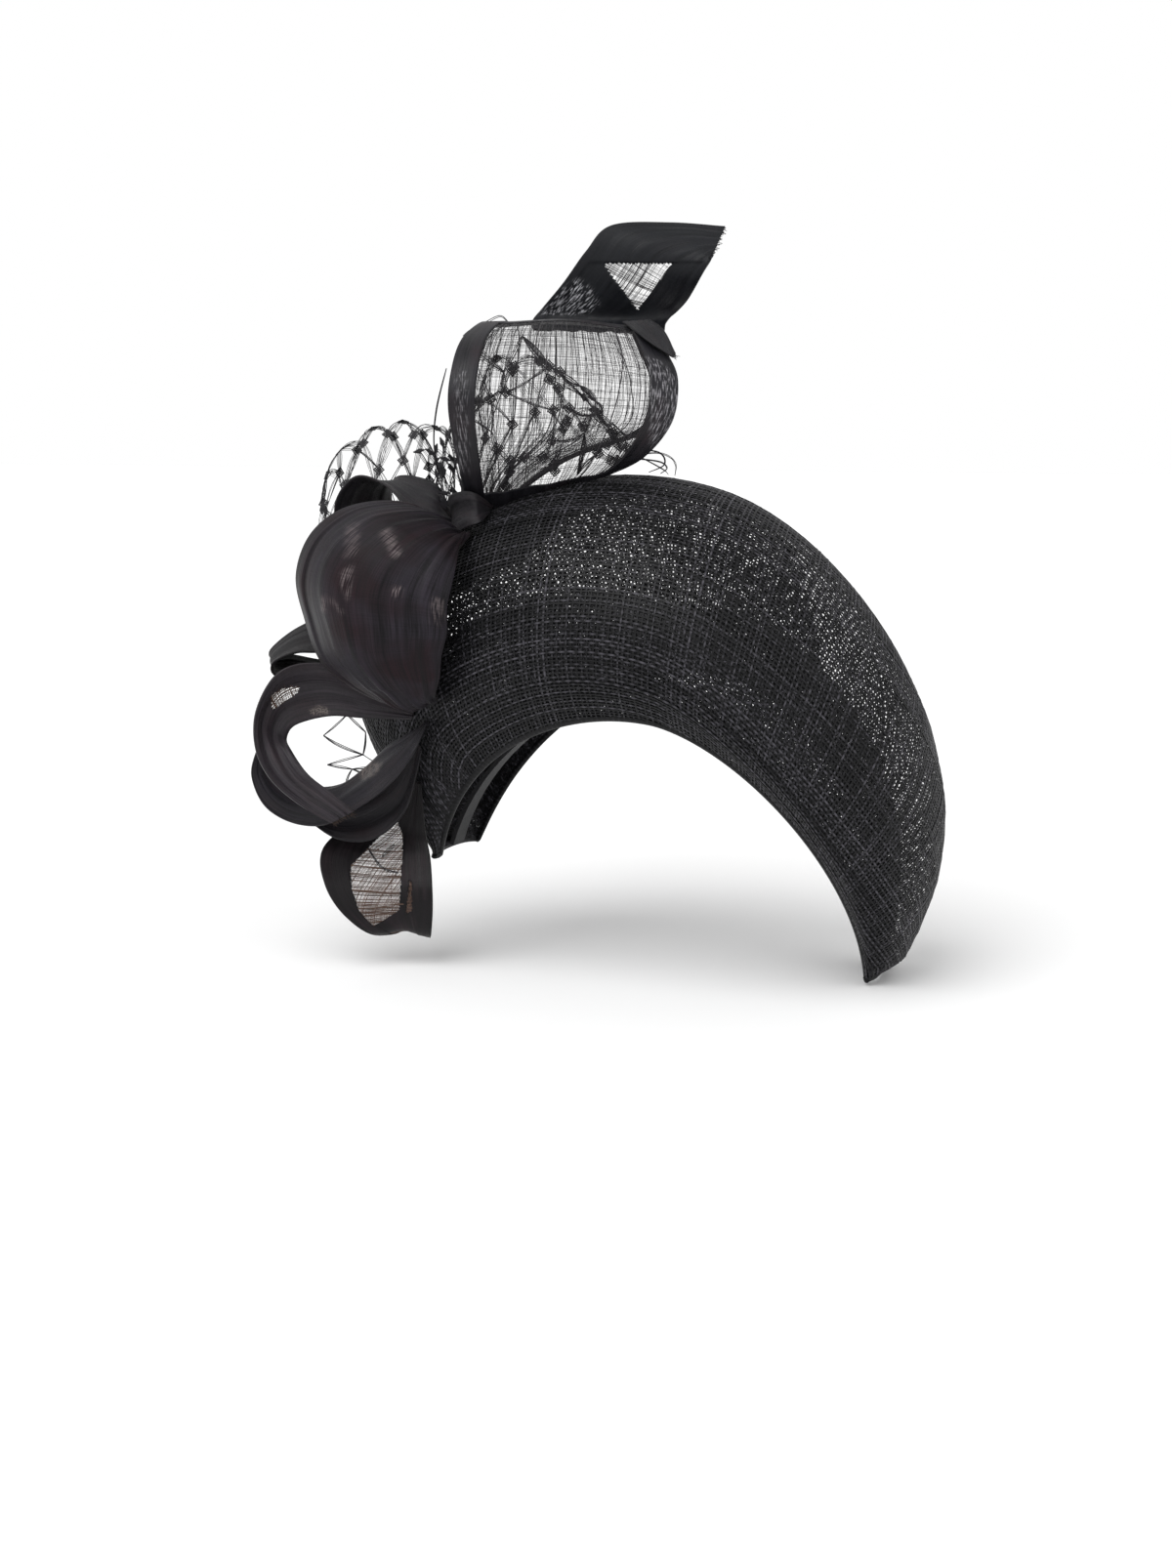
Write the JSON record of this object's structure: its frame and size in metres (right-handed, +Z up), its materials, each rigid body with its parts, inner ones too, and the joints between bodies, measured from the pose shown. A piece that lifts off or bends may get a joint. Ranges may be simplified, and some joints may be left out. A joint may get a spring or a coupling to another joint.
{
  "type": "halo band fascinator",
  "caption": "Black woven-straw halo band fascinator, worn tilted from ear to ear, with loops of sheer hemmed ribbon, a standing ribbon tail and veiling net at one side.",
  "frame": {"origin": "middle of the head opening, between the two ends of the halo band", "axes": "+Z up as worn, the wearer faces -Y, +X to the wearer's left"},
  "size_m": [0.245, 0.1192, 0.2602],
  "materials": {
    "straw": "stiff open-woven straw, slight sheen",
    "ribbon": "sheer stiff woven ribbon with opaque doubled hems",
    "net_thread": "soft thread net",
    "head_band_cloth": "matt woven"
  },
  "bodies": {
    "root": {"halo_band": "straw", "head_band": "head_band_cloth", "top_loop": "ribbon", "tail": "ribbon", "front_puff": "ribbon", "back_loop": "ribbon", "mid_loop": "ribbon", "ring_loop": "ribbon", "cross_loop": "ribbon", "under_loop": "ribbon", "lower_loop": "ribbon", "veil_puff": "net_thread", "veil_frill": "net_thread"}
  },
  "joints": []
}
